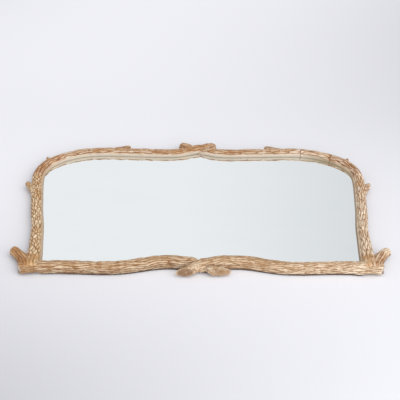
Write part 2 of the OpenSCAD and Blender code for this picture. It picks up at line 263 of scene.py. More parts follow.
# %% Numbers that only look random
def scatter(i, j, seed):
    """A number from 0 to 1 for cell i, j: the fraction of a large sine."""
    x = np.sin(i * 12.9898 + j * 78.233 + seed * 37.719) * 43758.5453
    return x - np.floor(x)


def waves(s, g, size, seed):
    """A smooth uneven field: five sine waves of about this size in different directions, added
    and divided by 3.2, which brings most of it between -1 and 1."""
    k = np.arange(5)
    turn = 2 * math.pi * scatter(k, 1, seed)
    pitch = 2 * math.pi / size * (0.6 + 1.1 * scatter(k, 2, seed))
    start = 2 * math.pi * scatter(k, 3, seed)
    total = 0 * (s + g)
    for a, b, c in zip(pitch * np.cos(turn), pitch * np.sin(turn), start):
        total = total + np.sin(a * s + b * g + c)
    return total / 3.2


# %% The net of plates
def plate_net(s, g, length, width, seed, point=1.6, shake=(0.6, 0.4)):
    """Distance in metres from each point to the border of its plate, the plate's tone, and
    how far along its plate the point is.

    The centre of plate i, j is at i + half of (j odd) and j, shaken by a part of a cell. Where
    point is 1 the plates are like bricks, and towards 2 they are pointed like lenses. With d0
    the distance to the nearest centre and dk to another one, in cells, the border is where
    they are equal, and (dk - d0) over the length of its slope is how far away that is. The
    smallest over the neighbours is kept.
    """
    x = s / length
    y = g / width
    dx = []
    dy = []
    tone = []
    for row in (-2, -1, 0, 1, 2):
        j = np.floor(y) + row
        shift = 0.5 * np.mod(j, 2)
        for column in (-1, 0, 1):
            i = np.floor(x - shift) + column
            dx.append(point * (x - i - shift - 0.5 - shake[0] * (scatter(i, j, seed) - 0.5)))
            dy.append(y - j - 0.5 - shake[1] * (scatter(i, j, seed + 1) - 0.5))
            tone.append(scatter(i, j, seed + 2))
    dx = np.array(dx)
    dy = np.array(dy)
    d = np.hypot(dx, dy) + 1e-9
    first = np.argmin(d, axis=0)[None]
    d0 = np.take_along_axis(d, first, 0)
    dx0 = np.take_along_axis(dx, first, 0)
    dy0 = np.take_along_axis(dy, first, 0)
    slope = np.hypot((dx / d - dx0 / d0) * point / length, (dy / d - dy0 / d0) / width) + 1e-6
    edge = (d - d0) / slope
    np.put_along_axis(edge, first, 1.0, 0)
    return edge.min(axis=0), np.take_along_axis(np.array(tone), first, 0)[0], dx0[0] / point


# %% Bark as height and colour masks
PLATE_DEPTH = 3.0 * MM
PLATE_STEP = 1.0 * MM
PLATE_LEAN = 1.2 * MM
LUMPS = 1.2 * MM
SET_BACK = 0.85 * PLATE_DEPTH
GROOVE_WIDTH = 4.2 * MM
FURROW_WIDTH = 5.2 * MM
RIB_WIDTH = 12.0 * MM


def bark(s, g, kind, seed, ridged):
    """Height of the bark, mask of the grooves and tone of the plates.

    The grid of the plates is bent by slow waves. A plate rises from its border as
    1 - (1 - t)^2, where t is the distance from the border over the groove's width. Each
    plate stands a little higher or lower than the next and leans along the branch, furrows
    run along it, and slow lumps lie under all of it. Where ridged is 1, as at the foot of a
    stile, there are only long ridges, cut deeper in some places than in others. All of it is
    set back, so that only the crests stand out over the skin of the CAD solid.
    """
    length, width, point, furrow, faint = kind
    bent_s = s + 9 * MM * waves(s, g, 0.11, seed + 3)
    bent_g = g + 3.5 * MM * waves(s, g, 0.10, seed + 4) + 0.9 * MM * waves(s, g, 0.03, seed + 5)
    edge, tone, lean = plate_net(bent_s, bent_g, length, width, seed, point)
    reach = GROOVE_WIDTH * (0.7 + 0.6 * tone)
    t = np.clip(edge / reach, 0, 1)
    height = PLATE_DEPTH * (1 - (1 - t) ** 2) + PLATE_STEP * (tone - 0.5) * t
    height = height + PLATE_LEAN * lean * t
    line = bent_g / FURROW_WIDTH + 1.1 * waves(s, g, 0.06, seed + 8)
    cut = np.clip(1 - np.abs(np.sin(math.pi * line)) / 0.45, 0, 1)
    cut = cut * smooth(waves(s, g, 0.05, seed + 9), -0.2, 0.5)
    rib = (0.6 * bent_g + 0.4 * g) / RIB_WIDTH + 0.4 * waves(s, g, 0.09, seed + 10)
    patchy = np.clip(0.60 + 0.55 * waves(s, g, 0.05, seed + 12), 0.15, 1)
    ridge = np.clip(1.10 - np.abs(np.sin(math.pi * rib)) / 0.60, 0, 1) * patchy * ridged
    height = height * (1 - 0.8 * ridged) - furrow * PLATE_DEPTH * cut
    height = height - PLATE_DEPTH * ridge + 0.6 * PLATE_DEPTH * ridged
    height = height + LUMPS * waves(s, g, 0.07, seed + 6)
    strong = smooth(waves(s, g, 0.045, seed + 12), -0.5, 0.4)
    groove = (1 - smooth(edge, 0.5 * MM, 3.0 * MM)) * (1 - faint * (1 - strong))
    groove = np.maximum(groove, furrow * 1.8 * cut * (1 - groove)) * (1 - ridged)
    groove = np.maximum(groove, ridge)
    return height - SET_BACK, np.clip(groove, 0, 1), tone


# %% Knots
KNOT_DEPTH = 1.2 * MM


def cut_knots(points, knots, height, groove, tone):
    """Round each knot (x, y, size) the bark turns into a spiral: half of 1 plus the sine of
    8 times the distance less the angle, with the distance in sizes, faded by exp(-r^2)."""
    for x, y, size in knots:
        away = np.hypot(points[..., 0] - x, points[..., 1] - y) / size
        turn = np.arctan2(points[..., 1] - y, points[..., 0] - x)
        near = np.exp(-away ** 2)
        whorl = 0.5 + 0.5 * np.sin(8 * away - turn)
        groove = groove * (1 - near) + 0.75 * whorl * near
        height = height * (1 - near) - KNOT_DEPTH * whorl * near
        tone = tone + near
    return height, groove, tone


# %% [markdown]
# ## Where branches meet
# On the real frame no branch runs straight into another: the carver left a little wood in each
# corner, pressed the lower branch down where it dives under the upper one, and rounded the
# sawn ends. So each point of one branch is asked how far it is from the skin of the other.

# %% Distance to another branch
# Every fourth sample of a line is near enough, and only points near the meeting are asked.
EVERY = 4
JOIN_REACH = 90 * MM


def skin_distance(points, line, side):
    """About how far each point is from the skin of another branch, negative inside it.

    The nearest sample of the line gives the offset u across it, and the point's ratio to
    the section, the root of (u / half width)^2 + (height / half height)^2, less 1, times
    the half width is the distance.
    """
    x = np.asarray(line["x"][::EVERY]) * side
    y = line["y"][::EVERY]
    gap = (points[:, None, 0] - x) ** 2 + (points[:, None, 1] - y) ** 2
    near = np.argmin(gap, axis=1) * EVERY
    off = np.sqrt(gap.min(axis=1))
    half = line["w"][near] / 2
    z = points[:, 2] - BACK_Z - THICK * BELLY
    tall = THICK * np.where(z > 0, 1 - BELLY, KEEL)
    return (np.hypot(off / half, z / tall) - 1) * half


def fillet(points, normals, line, side, spot, reach, rise):
    """Moves points out along their normals by rise times (1 - distance / reach)^2 where the
    other branch is nearer than reach. A negative rise presses them in."""
    near = np.hypot(points[:, 0] - spot[0], points[:, 1] - spot[1]) < JOIN_REACH
    if near.any():
        gap = np.abs(skin_distance(points[near], line, side))
        push = rise * np.clip(1 - gap / reach, 0, 1) ** 2
        points[near] += normals[near] * push[:, None]


# %% [markdown]
# ## From arrays to a piece
# All skins are grids: rings along the branch and points across it. A cap is more rings that
# shrink to a pole, so that every piece is one closed surface whose faces point outwards.

# %% Mesh from a grid of rings
# low is a mask of painted shade: near the floor, at the foot of the wall and on the outer flank.
MASKS = ("groove", "tone", "wall", "sawn", "ring", "low")
SHARP = math.radians(62)


def make_piece(name, rings, poles, masks, uv, side):
    """Closed skin from rings of points: neighbours on two rings make a quad, and the first
    and last ring are closed to their poles with triangles. The left half is mirrored, so its
    faces are turned round. masks has the MASKS of each point, uv is metres along and across."""
    rows, cols = rings.shape[:2]
    i = np.arange(rows - 1)[:, None]
    j = np.arange(cols)[None, :]
    k = (j + 1) % cols
    quads = np.stack([i * cols + j, (i + 1) * cols + j, (i + 1) * cols + k, i * cols + k], -1)
    quads = quads.reshape(-1, 4)
    corners = np.stack([uv[:-1, :-1], uv[1:, :-1], uv[1:, 1:], uv[:-1, 1:]], 2).reshape(-1, 4, 2)
    total = rows * cols
    j = np.arange(cols)
    k = (j + 1) % cols
    end = (rows - 1) * cols
    tris = np.vstack([np.stack([0 * j + total, j, k], -1),
                      np.stack([end + j, 0 * j + total + 1, end + k], -1)])
    tri_uv = np.vstack([np.stack([uv[0, :-1], uv[0, :-1], uv[0, 1:]], 1),
                        np.stack([uv[-1, :-1], uv[-1, :-1], uv[-1, 1:]], 1)])
    if side < 0:
        quads = quads[:, ::-1]
        corners = corners[:, ::-1]
        tris = tris[:, ::-1]
        tri_uv = tri_uv[:, ::-1]
    places = np.vstack([rings.reshape(-1, 3), poles])
    loops = np.concatenate([quads.ravel(), tris.ravel()])
    starts = np.concatenate([np.arange(len(quads)) * 4, len(quads) * 4 + np.arange(len(tris)) * 3])
    mesh = bpy.data.meshes.new(name)
    mesh.vertices.add(len(places))
    mesh.vertices.foreach_set("co", places.ravel())
    mesh.loops.add(len(loops))
    mesh.loops.foreach_set("vertex_index", loops.astype(np.int32))
    mesh.polygons.add(len(starts))
    mesh.polygons.foreach_set("loop_start", starts.astype(np.int32))
    mesh.update(calc_edges=True)
    mesh.validate()
    layer = mesh.uv_layers.new(name="along")
    layer.data.foreach_set("uv", np.concatenate([corners.reshape(-1), tri_uv.reshape(-1)]))
    for number, key in enumerate(MASKS):
        values = masks[..., number].ravel()
        values = np.concatenate([values, [values[0], values[-1]]])
        mesh.attributes.new(key, "FLOAT", "POINT").data.foreach_set("value", values)
    mesh.polygons.foreach_set("use_smooth", np.ones(len(mesh.polygons), bool))
    mesh.set_sharp_from_angle(angle=SHARP)
    piece = bpy.data.objects.new(name, mesh)
    bpy.context.collection.objects.link(piece)
    print("%-22s %6d triangles" % (name, 2 * len(quads) + len(tris)))
    return piece


# %% Caps
# How far each kind of end bulges, how many rings its cap has, and the masks that change there.
BULGE = {"sawn": 2.5 * MM, "blunt": 6.0 * MM, "dome": 8.0 * MM, "tip": 4.0 * MM}
CAP_ROWS = 22
TWIG_CAP_ROWS = 10
CAP_LENGTH = 20 * MM
GROOVE, WALL, SAWN, RING = 0, 2, 3, 4


def cap_rings(edge, centre, out, bulge, rows):
    """Rings from an edge to its centre: the place at share r of the way out is the centre
    plus r times the edge's offset, moved out by bulge times 0.7 (1 - r^6) + 0.3 (1 - r^2)."""
    r = np.linspace(1, 0, rows + 1)[1:-1][:, None, None]
    lift = bulge * (0.7 * (1 - r ** 6) + 0.3 * (1 - r ** 2))
    return centre + r * (edge[None] - centre) + lift * out, r[:, 0, 0]


def centre_of_section(line, s, side):
    """A point inside the routed section, from which its whole edge is seen."""
    return lay(line, np.array(s), np.array(-5 * MM), np.array(25 * MM), side)


def close_end(line, side, points, s, masks, last, end, saw, round_twig):
    """The pole of one end, and the rings, masks and distances along of its cap. last says
    which end it is: 0 or -1. A joint and a seam are flat, so they have a pole and no cap. A
    saw cut faces along the saw's normal and the other ends face along the line."""
    edge = points[last]
    centre = edge.mean(axis=0)
    if end in ("joint", "seam"):
        pole = centre if round_twig else centre_of_section(line, s[last, 0], side)
        return pole, points[:0], masks[:0], s[:0]
    way = 1 if last else -1
    out = np.array([side * at(line, "fx", s[last, 0]), at(line, "fy", s[last, 0]), 0]) * way
    if saw is not None:
        out = saw[1]
    rings, r = cap_rings(edge, centre, out, BULGE[end], TWIG_CAP_ROWS if round_twig else CAP_ROWS)
    keep = masks[last][None] + np.zeros((len(r), 1, 1))
    keep[..., GROOVE] = 0
    keep[..., WALL] = 0
    keep[..., SAWN] = (smooth(1 - r, 0.0, 0.10) * (end != "blunt"))[:, None]
    keep[..., RING] = r[:, None]
    along = s[last][None] + way * (1 - r)[:, None] * CAP_LENGTH
    return centre + out * BULGE[end], rings, keep, along


# %% Sawing a tail off
# How much of a line a saw cut may squeeze at its first and at its last end.
SAW_REACH = (105 * MM, 60 * MM)


def saw_plane(x, y, turn, tilt):
    """A plane through x, y at half the height of the frame. Its normal points turn degrees
    from +X towards +Y, and tilt degrees up."""
    turn = math.radians(turn)
    tilt = math.radians(tilt)
    flat = math.cos(tilt)
    normal = np.array([flat * math.cos(turn), flat * math.sin(turn), math.sin(tilt)])
    return np.array([x * MM, y * MM, LAP_Z]), normal


def saw_off(line, s, skin, side, saw, at_end):
    """Squeezes one end of every lengthwise line so that it ends on a saw plane. The plane
    cuts the line where its place less the plane's place, times the plane's normal, is 0."""
    place, normal = saw
    reach = SAW_REACH[at_end]
    whole = line["s"][-1]
    many = np.linspace(0, reach, 300)[:, None] + np.zeros(s.shape[1])
    along = whole - many if at_end else many
    points = skin(line, along, side, 0 * many)[0]
    above = (points - place) @ normal
    last = len(many) - 1 - np.argmax((above > 0)[::-1], axis=0)
    last = np.clip(last, 0, len(many) - 2)
    a = np.take_along_axis(above, last[None], 0)[0]
    b = np.take_along_axis(above, last[None] + 1, 0)[0]
    start = many[last, 0] + (many[1, 0] - many[0, 0]) * np.clip(a / (a - b), 0, 1)
    start = np.where((above > 0).any(axis=0), start, 0)
    depth = whole - s if at_end else s
    squeezed = reach - (reach - start) * np.clip((reach - depth) / reach, 0, 1)
    squeezed = np.where(depth < reach, squeezed, depth)
    return whole - squeezed if at_end else squeezed


# %% [markdown]
# ## Carving one piece
# Each piece is carved in the same order: a smooth skin, the wood that runs over from its
# neighbours, then the bark along the normals. The two bottom rails get one more step: in front
# their flank comes nearly down to the floor, so it hangs a little lower than the section has
# it, and at the corners it also comes forward. Last come the masks for the colours. A displace
# modifier could raise the bark too, but then the masks wouldn't know where the grooves are.

# %% Parts of the carving
STEP_RUN = 35 * MM
SEAM_DEPTH = 1.6 * MM
# Metres along a line between which the routed steps run; no line is 8 m long.
ALL_ALONG = (-1, 9)
NO_STEPS = (8, 9)


def columns(line, first, pale, round_twig):
    """Across a piece: the distance of each column along the skin, how much bark it has, how
    much of it is the pale wall, and how far the neighbours may move it."""
    if round_twig:
        girth = math.pi * at(line, "w", first)
        cols = int(round(girth / ACROSS))
        return np.arange(cols) * girth / cols, np.ones(cols), np.zeros(cols), np.ones(cols)
    g = np.concatenate([ARCH_G, ARCH_G[-1] + 5 * MM * np.arange(1, len(STEPS_U) + 1)])
    fade = smooth(g, 0, 5 * MM) * (1 - smooth(g, WALL_G - 1.5 * MM, WALL_G + 1.5 * MM))
    fade[len(ARCH):] = 0
    wall = smooth(g, WALL_G - pale, WALL_G + max(1 * MM, 3 * MM - pale))
    return g, fade, wall, 1 - smooth(g, ARCH_G[-1] - 6 * MM, ARCH_G[-1])


def seam_mask(s, ends):
    """1 on a glue seam at an end that is called seam, and 0 from 2.8 mm away."""
    seam = 0 * s
    for last, end in zip((0, -1), ends):
        if end == "seam":
            seam = np.maximum(seam, 1 - smooth(np.abs(s - s[last]), 0.6 * MM, 2.8 * MM))
    return seam


def hang(points, g, step, side, belly):
    """Lowers the outer flank of a bottom rail by belly, most at its foot, from the crossing
    to the corner, and moves it forward by as much at the corner. The change at the corner
    starts further out on the left side than on the right."""
    out = np.abs(points[..., 0])
    corner = smooth(out, 0.60, 0.64) if side > 0 else smooth(out, 0.655, 0.69)
    run = np.maximum(step * (1 - smooth(-points[..., 0], 0.50, 0.60)), corner)
    points[..., 2] -= belly * (1 - smooth(g, 6 * MM, 24 * MM)) * run
    points[..., 1] -= belly * (1 - smooth(g, 14 * MM, 34 * MM)) * corner


def shade(z, g, step, flank_shade, belly, round_twig):
    """Painted shade on the wood: where shade falls along the foot of the wall by the glass, near
    the floor, and on the outer flank as much as the painted flank shade asks, more the lower it
    is. The darkest of the three counts."""
    low = 0.75 * smooth(g, ARCH_G[-1] - 2.6 * MM, ARCH_G[-1] - 0.6 * MM) * step
    low = np.maximum(low, 1 - smooth(z, 14 * MM - 1.4 * belly, 19 * MM - 1.4 * belly))
    outer = 0 * g if round_twig else 1 - smooth(g, 0.35 * WALL_G, 0.6 * WALL_G)
    return np.maximum(low, flank_shade * outer * (1 - smooth(z, 16 * MM, 44 * MM)))


# %% One branch from start to end
pieces = {}


def carve(name, line, first, last, side, seed, kind, skin=branch_skin, steps=ALL_ALONG,
          saws=(None, None), ends=("joint", "joint"), joins=(), rises=(), knots=(), ridges=0,
          relief=1.0, pale=2 * MM, flank_shade=0.42, belly=0):
    """Carves one piece of wood and stands it for its CAD node.

    first and last are distances along the line. kind is the bark: length and width of its plates,
    how pointed they are, how deep the furrows and how faint some grooves are. steps gives where
    the routed steps begin and end. saws are planes (place, unit normal) that cut the two ends.
    ends names them: joint is flat and hidden, seam shows as a fine line, and the others are seen.
    joins are fillets (line, side, spot, reach, rise), rises are bumps and hollows (x, y, size,
    height) and knots are spirals (x, y, size). ridges is how far from the first end long ridges
    reach. relief scales the depth of the bark. pale is how far over its top edge the pale wall
    reaches. The last two set how much painted shade the outer flank gets and how far a bottom rail
    hangs; they go to shade and hang.
    """
    round_twig = skin is twig_skin
    g, fade, wall, free = columns(line, first, pale, round_twig)
    rings = int(round((last - first) / ALONG)) + 1
    s = np.linspace(first, last, rings)[:, None] + np.zeros(len(g))
    for at_end, saw in enumerate(saws):
        if saw is not None:
            s = saw_off(line, s, skin, side, saw, at_end)
    start, stop = steps
    step = smooth(s, start, start + STEP_RUN) * (1 - smooth(s, stop - STEP_RUN, stop))
    points, normals = skin(line, s, side, step)
    flat_p = points.reshape(-1, 3)
    flat_n = normals.reshape(-1, 3)
    free = (free + 0 * s).ravel()
    for join in joins:
        fillet(flat_p, flat_n * free[:, None], *join)
    for x, y, size, height in rises:
        away = np.hypot(flat_p[:, 0] - x, flat_p[:, 1] - y) / size
        flat_p += flat_n * (height * np.exp(-away ** 2) * free)[:, None]
    ridged = 1 - smooth(s - first, 0.4 * ridges, ridges + 1e-6)
    height, groove, tone = bark(s, g[None, :] + 0 * s, kind, seed, ridged)
    height, groove, tone = cut_knots(points, knots, height, groove, tone)
    seam = seam_mask(s, ends)
    barked = fade[None, :] * step + (1 - step)
    flat_p += flat_n * ((height - SEAM_DEPTH * seam) * barked * relief).reshape(-1, 1)
    if belly:
        hang(points, g, step, side, belly)
    # low is painted shade: dark near the floor, at the foot of the wall by the glass and on the
    # outer flank.
    low = shade(points[..., 2], g, step, flank_shade, belly, round_twig)
    groove = np.maximum(groove * barked, seam)
    masks = np.stack([groove, tone, wall * step * (1 - 0.8 * seam), 0 * s, 0 * s, low], -1)
    poles, *caps = zip(*(
        close_end(line, side, points, s, masks, last, ends[last], saws[last], round_twig)
        for last in (0, -1)))
    sheet, masks, uv_s = (np.concatenate([before[::-1], middle, after])
                          for middle, (before, after) in zip((points, masks, s), caps))
    uv_s = np.concatenate([uv_s, uv_s[:, :1]], axis=1)
    uv_g = np.concatenate([g, [g[-1] + 5 * MM]])[None, :] + 0 * uv_s
    piece = make_piece(name, sheet, np.array(poles), masks, np.stack([uv_s, uv_g], -1), side)
    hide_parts(name)
    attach(piece, "frame")
    pieces[name] = piece


# %% [markdown]
# ## The bottom branches
# The right branch passes over the left one and is sawn off facing the viewer. The left one
# dives under it and comes out with a long slanting cut. Each is one closed skin. The bark of
# each kind of branch has its own measures: on the rails the plates are long and narrow, on the
# left stile they are short and pointed, and the foot and the crossing are hollowed or filled.

# %% Kinds of bark
# Length and width of a plate in metres, how pointed it is, how deep the furrows are and how
# faint some of the grooves.
RAIL_BARK = (0.075, 0.0088, 1.25, 0.50, 0.40)
LEFT_RAIL_BARK = (0.115, 0.0092, 1.25, 0.50, 0.35)
STILE_BARK = (0.031, 0.0098, 1.60, 0.08, 0.08)
RIGHT_BARK = (0.054, 0.0086, 1.35, 0.35, 0.25)
CORNER_BARK = (0.075, 0.0096, 1.30, 0.45, 0.45)
TOP_BARK = (0.070, 0.0108, 1.35, 0.30, 0.45)
STUB_BARK = (0.080, 0.0080, 1.20, 0.45, 0.05)
TWIG_BARK = (0.045, 0.0080, 1.30, 0.30, 0.40)
# How far from the other branch a fillet begins, and how high it rises in the corner.
FOOT_FILLET = (30 * MM, 9 * MM)
TWIG_FILLET = (12 * MM, 4 * MM)

# %% Bottom branches
CROSS_LOW = (0.0, -0.4113)
CROSS_HIGH = (0.0, 0.4211)
CORNER = (0.690, -0.418)
HANG = 4 * MM
s_mark = side_line["mark"]
bottom_length = bottom_line["s"][-1]
under_length = under_line["s"][-1]
longer = under_length - bottom_length
rail_steps = (0.122, bottom_line["mark"][RAIL_FOOT] - 0.008)
over_saw = saw_plane(-73, -460, -92, 12)
under_saw = saw_plane(35, -457, -84, 22)
right_end_saw = saw_plane(731, -442, -48, 4)
left_end_saw = saw_plane(-731, -442, 228, 4)
# The rails get only a little painted shade on their outer flanks.
carve("bottom_rail_right", bottom_line, 0, bottom_length, 1, 11, RAIL_BARK,
      steps=rail_steps, saws=(over_saw, right_end_saw), ends=("sawn", "sawn"),
      joins=[(bottom_line, -1, CROSS_LOW, 14 * MM, 2.5 * MM)],
      rises=[(0.0, -0.415, 0.045, 1.5 * MM), (0.690, -0.420, 0.022, -8 * MM)],
      knots=[(-0.022, -0.444, 0.015)], relief=0.8, flank_shade=0.08, belly=HANG)
carve("bottom_rail_left", under_line, 0, under_length, -1, 23, LEFT_RAIL_BARK,
      steps=(rail_steps[0] + longer, rail_steps[1] + longer),
      saws=(under_saw, left_end_saw), ends=("sawn", "sawn"),
      joins=[(bottom_line, 1, CROSS_LOW, 26 * MM, -12 * MM)],
      rises=[(-0.690, -0.420, 0.022, -8 * MM)], flank_shade=0.26, belly=HANG)

# %% [markdown]
# ## Stiles, shoulders and top branches
# The side branch is one line from the foot of the stile to the tail past the top crossing. It
# is sawn into pieces where the wood is joined, and the bark runs on over the joints because
# it was carved after gluing. Two joints on the top right show as fine lines.

# %% Stiles and shoulders
for side, half, seed in ((1, "right", 31), (-1, "left", 37)):
    on_right = side > 0
    foot = (side * CORNER[0], CORNER[1])
    carve(half + "_stile", side_line, 0, s_mark[STILE_END], side, seed,
          RIGHT_BARK if on_right else STILE_BARK, ridges=0.075,
          joins=[(stub_line, side, foot, *FOOT_FILLET),
                 (side_twig_line, side, (side * 0.712, 0.086), *TWIG_FILLET)],
          rises=[(side * 0.677, -0.446, 0.013, -16 * MM)], pale=(-3 if on_right else 2) * MM)
    carve("top_corner_" + half, side_line, s_mark[STILE_END], s_mark[CORNER_END], side, seed,
          CORNER_BARK, ends=("joint", "seam" if on_right else "joint"),
          joins=[(shoulder_twig_line, side, (side * 0.668, 0.318), 8 * MM, 2 * MM)],
          pale=(-2 if on_right else 5) * MM)

# %% Top branches
TOP_PALE = 9 * MM
top_end = s_mark[SIDE_END] - 3 * MM
top_steps = (ALL_ALONG[0], s_mark[PAST_TOP] + 0.012)
carve("top_rail_insert", side_line, s_mark[CORNER_END], s_mark[INSERT_END], 1, 43, TOP_BARK,
      ends=("seam", "seam"), pale=TOP_PALE)
carve("top_rail_right", side_line, s_mark[INSERT_END], top_end, 1, 41, TOP_BARK,
      steps=top_steps, ends=("seam", "blunt"),
      joins=[(side_line, -1, CROSS_HIGH, 26 * MM, -10 * MM)], pale=TOP_PALE)
carve("top_rail_left", side_line, s_mark[CORNER_END], top_end, -1, 47, TOP_BARK,
      steps=top_steps, ends=("joint", "blunt"),
      joins=[(side_line, 1, CROSS_HIGH, 14 * MM, 2 * MM)],
      rises=[(0.0, 0.421, 0.045, 1.0 * MM)], pale=TOP_PALE)

# %% [markdown]
# ## Stubs and twigs
# The stubs at the lower corners are as thick as the branches and have long ridges and a knot
# beside the tip. The twigs are thin and round, with blunt tips.

# %% Stubs and twigs
TWIG_LINES = {"side_twig_": side_twig_line, "shoulder_twig_": shoulder_twig_line,
              "top_twig_": top_twig_line}
for side, half, seed in ((1, "right", 53), (-1, "left", 59)):
    foot = (side * CORNER[0], CORNER[1])
    carve("corner_stub_" + half, stub_line, 0, stub_line["s"][-1], side, seed, STUB_BARK,
          steps=NO_STEPS, ends=("joint", "dome"), joins=[(side_line, side, foot, *FOOT_FILLET)],
          rises=[(side * 0.698, -0.445, 0.013, -16 * MM)],
          knots=[(side * 0.775, -0.350, 0.011)], ridges=0.2)
    for kind, line in TWIG_LINES.items():
        root = (side * line["x"][0], line["y"][0])
        carve(kind + half, line, 0, line["s"][-1], side, seed + 2, TWIG_BARK, twig_skin,
              ends=("joint", "tip"), joins=[(side_line, side, root, *TWIG_FILLET)], relief=0.6)

# %% [markdown]
# ## Tools for materials
# A material is a small machine of nodes. These helpers add a node, set it and hand back its
# output, so that a finish reads from top to bottom like a recipe.

# %% Node helpers
def linear(red, green, blue):
    """A colour as a screen shows it, 0 to 255, as the light that it stands for: values up to
    10 over 12.92, and above that ((v + 0.055) / 1.055) to the power 2.4."""
    v = np.array([red, green, blue]) / 255
    light = np.where(v <= 0.04045, v / 12.92, ((v + 0.055) / 1.055) ** 2.4)
    return (*[float(x) for x in light], 1.0)


def tied(helper, *first):
    """The same helper with its first inputs filled in."""
    return lambda *rest: helper(*first, *rest)


def plug(tree, value, socket):
    """Links a socket, or sets a plain value."""
    if isinstance(value, bpy.types.NodeSocket):
        tree.links.new(value, socket)
    else:
        socket.default_value = value


def math_of(tree, operation, a, b=0.0, c=None, clamp=False):
    """One step of arithmetic."""
    node = tree.nodes.new("ShaderNodeMath")
    node.operation = operation
    node.use_clamp = clamp
    plug(tree, a, node.inputs[0])
    plug(tree, b, node.inputs[1])
    if c is not None:
        plug(tree, c, node.inputs[2])
    return node.outputs[0]


def add_shares(tree, start, shares, clamp=False):
    """Adds up start and each value times its share; clamp keeps the last sum from 0 to 1."""
    total = start
    for number, (value, share) in enumerate(shares, 1):
        total = math_of(tree, "ADD", total, math_of(tree, "MULTIPLY", value, share),
                        clamp=clamp and number == len(shares))
    return total


def spread(tree, value, low, high, to_low=0.0, to_high=1.0):
    """Stretches low to high over to_low to to_high, smoothly and with nothing outside."""
    node = tree.nodes.new("ShaderNodeMapRange")
    node.interpolation_type = "SMOOTHSTEP"
    for socket, number in zip(node.inputs[:5], (value, low, high, to_low, to_high)):
        plug(tree, number, socket)
    return node.outputs[0]


def stretch(tree, vector, x, y, z):
    """A vector with each part multiplied."""
    node = tree.nodes.new("ShaderNodeVectorMath")
    node.operation = "MULTIPLY"
    plug(tree, vector, node.inputs[0])
    plug(tree, (x, y, z), node.inputs[1])
    return node.outputs[0]


def split(tree, vector):
    """The three parts of a vector."""
    node = tree.nodes.new("ShaderNodeSeparateXYZ")
    tree.links.new(vector, node.inputs[0])
    return node.outputs[:3]


def noise(tree, vector, scale, detail=3.0, rough=0.55):
    """Cloudy values from 0 to 1."""
    node = tree.nodes.new("ShaderNodeTexNoise")
    plug(tree, vector, node.inputs["Vector"])
    plug(tree, scale, node.inputs["Scale"])
    plug(tree, detail, node.inputs["Detail"])
    plug(tree, rough, node.inputs["Roughness"])
    return node.outputs[0]


def mix(tree, share, a, b):
    """Mixes two colours: share 0 is a and share 1 is b."""
    node = tree.nodes.new("ShaderNodeMix")
    node.data_type = "RGBA"
    plug(tree, share, node.inputs[0])
    plug(tree, a, node.inputs[6])
    plug(tree, b, node.inputs[7])
    return node.outputs[2]


def new_group(name, inputs, outputs):
    """An empty node group with named sockets; returns it with its inlets and outlet."""
    tree = bpy.data.node_groups.new(name, "ShaderNodeTree")
    kinds = {"value": "NodeSocketFloat", "colour": "NodeSocketColor", "place": "NodeSocketVector"}
    for way, sockets in (("INPUT", inputs), ("OUTPUT", outputs)):
        for label, kind in sockets:
            tree.interface.new_socket(label, in_out=way, socket_type=kinds[kind])
    inlet = tree.nodes.new("NodeGroupInput")
    outlet = tree.nodes.new("NodeGroupOutput")
    return tree, inlet.outputs, outlet.inputs


def use_group(tree, group, **values):
    """Places a group in a material and plugs its inputs by name; _ stands for a space."""
    node = tree.nodes.new("ShaderNodeGroup")
    node.node_tree = group
    for label, value in values.items():
        plug(tree, value, node.inputs[label.replace("_", " ")])
    return node.outputs


def new_material(name):
    """A material with its Principled shader; returns the material, its tree and the shader."""
    material = bpy.data.materials.new(name)
    material.use_nodes = True
    tree = material.node_tree
    return material, tree, tree.nodes["Principled BSDF"]


def attribute(tree, name):
    """A value that is stored on the piece."""
    node = tree.nodes.new("ShaderNodeAttribute")
    node.attribute_name = name
    return node.outputs["Fac"]


def object_place(tree):
    """The place on the object in metres."""
    return tree.nodes.new("ShaderNodeTexCoord").outputs["Object"]


def finish_with(tree, shader, colour, roughness, height, strength, distance):
    """Feeds a colour, a roughness and a height as bump to the shader."""
    tree.links.new(colour, shader.inputs["Base Color"])
    tree.links.new(roughness, shader.inputs["Roughness"])
    node = tree.nodes.new("ShaderNodeBump")
    node.inputs["Strength"].default_value = strength
    node.inputs["Distance"].default_value = distance
    tree.links.new(height, node.inputs["Height"])
    tree.links.new(node.outputs[0], shader.inputs["Normal"])


# %% [markdown]
# ## Limed wood
# Lime wash is a white paste. It is brushed on, pushed into the pores and wiped off again, so it
# stays as a pale haze on the plates, thin on their crests and gone in streaks where the cloth
# rubbed. The grooves keep the brown of the stain. One node group holds the grain and one the
# wash; every branch uses both with its own values. The hand that wiped didn't wipe evenly, so
# some places of the frame keep more of the lime or less. Each such place is a mask that is made
# from the place on the object, in metres, with soft borders.

# %% Grain group
grain, inlet, outlet = new_group(
    "Carved grain", [("Along", "place"), ("Place", "place")],
    [("Streak", "value"), ("Cloud", "value"), ("Pore", "value")])
streak = noise(grain, stretch(grain, inlet["Along"], 26, 420, 1), 1.0, 4.0, 0.6)
fine = noise(grain, stretch(grain, inlet["Along"], 90, 1500, 1), 1.0, 2.0, 0.5)
cloud = noise(grain, inlet["Place"], 38.0, 5.0, 0.62)
grain.links.new(math_of(grain, "MULTIPLY_ADD", fine, 0.35), outlet["Pore"])
grain.links.new(spread(grain, streak, 0.32, 0.68), outlet["Streak"])
grain.links.new(spread(grain, cloud, 0.30, 0.70), outlet["Cloud"])

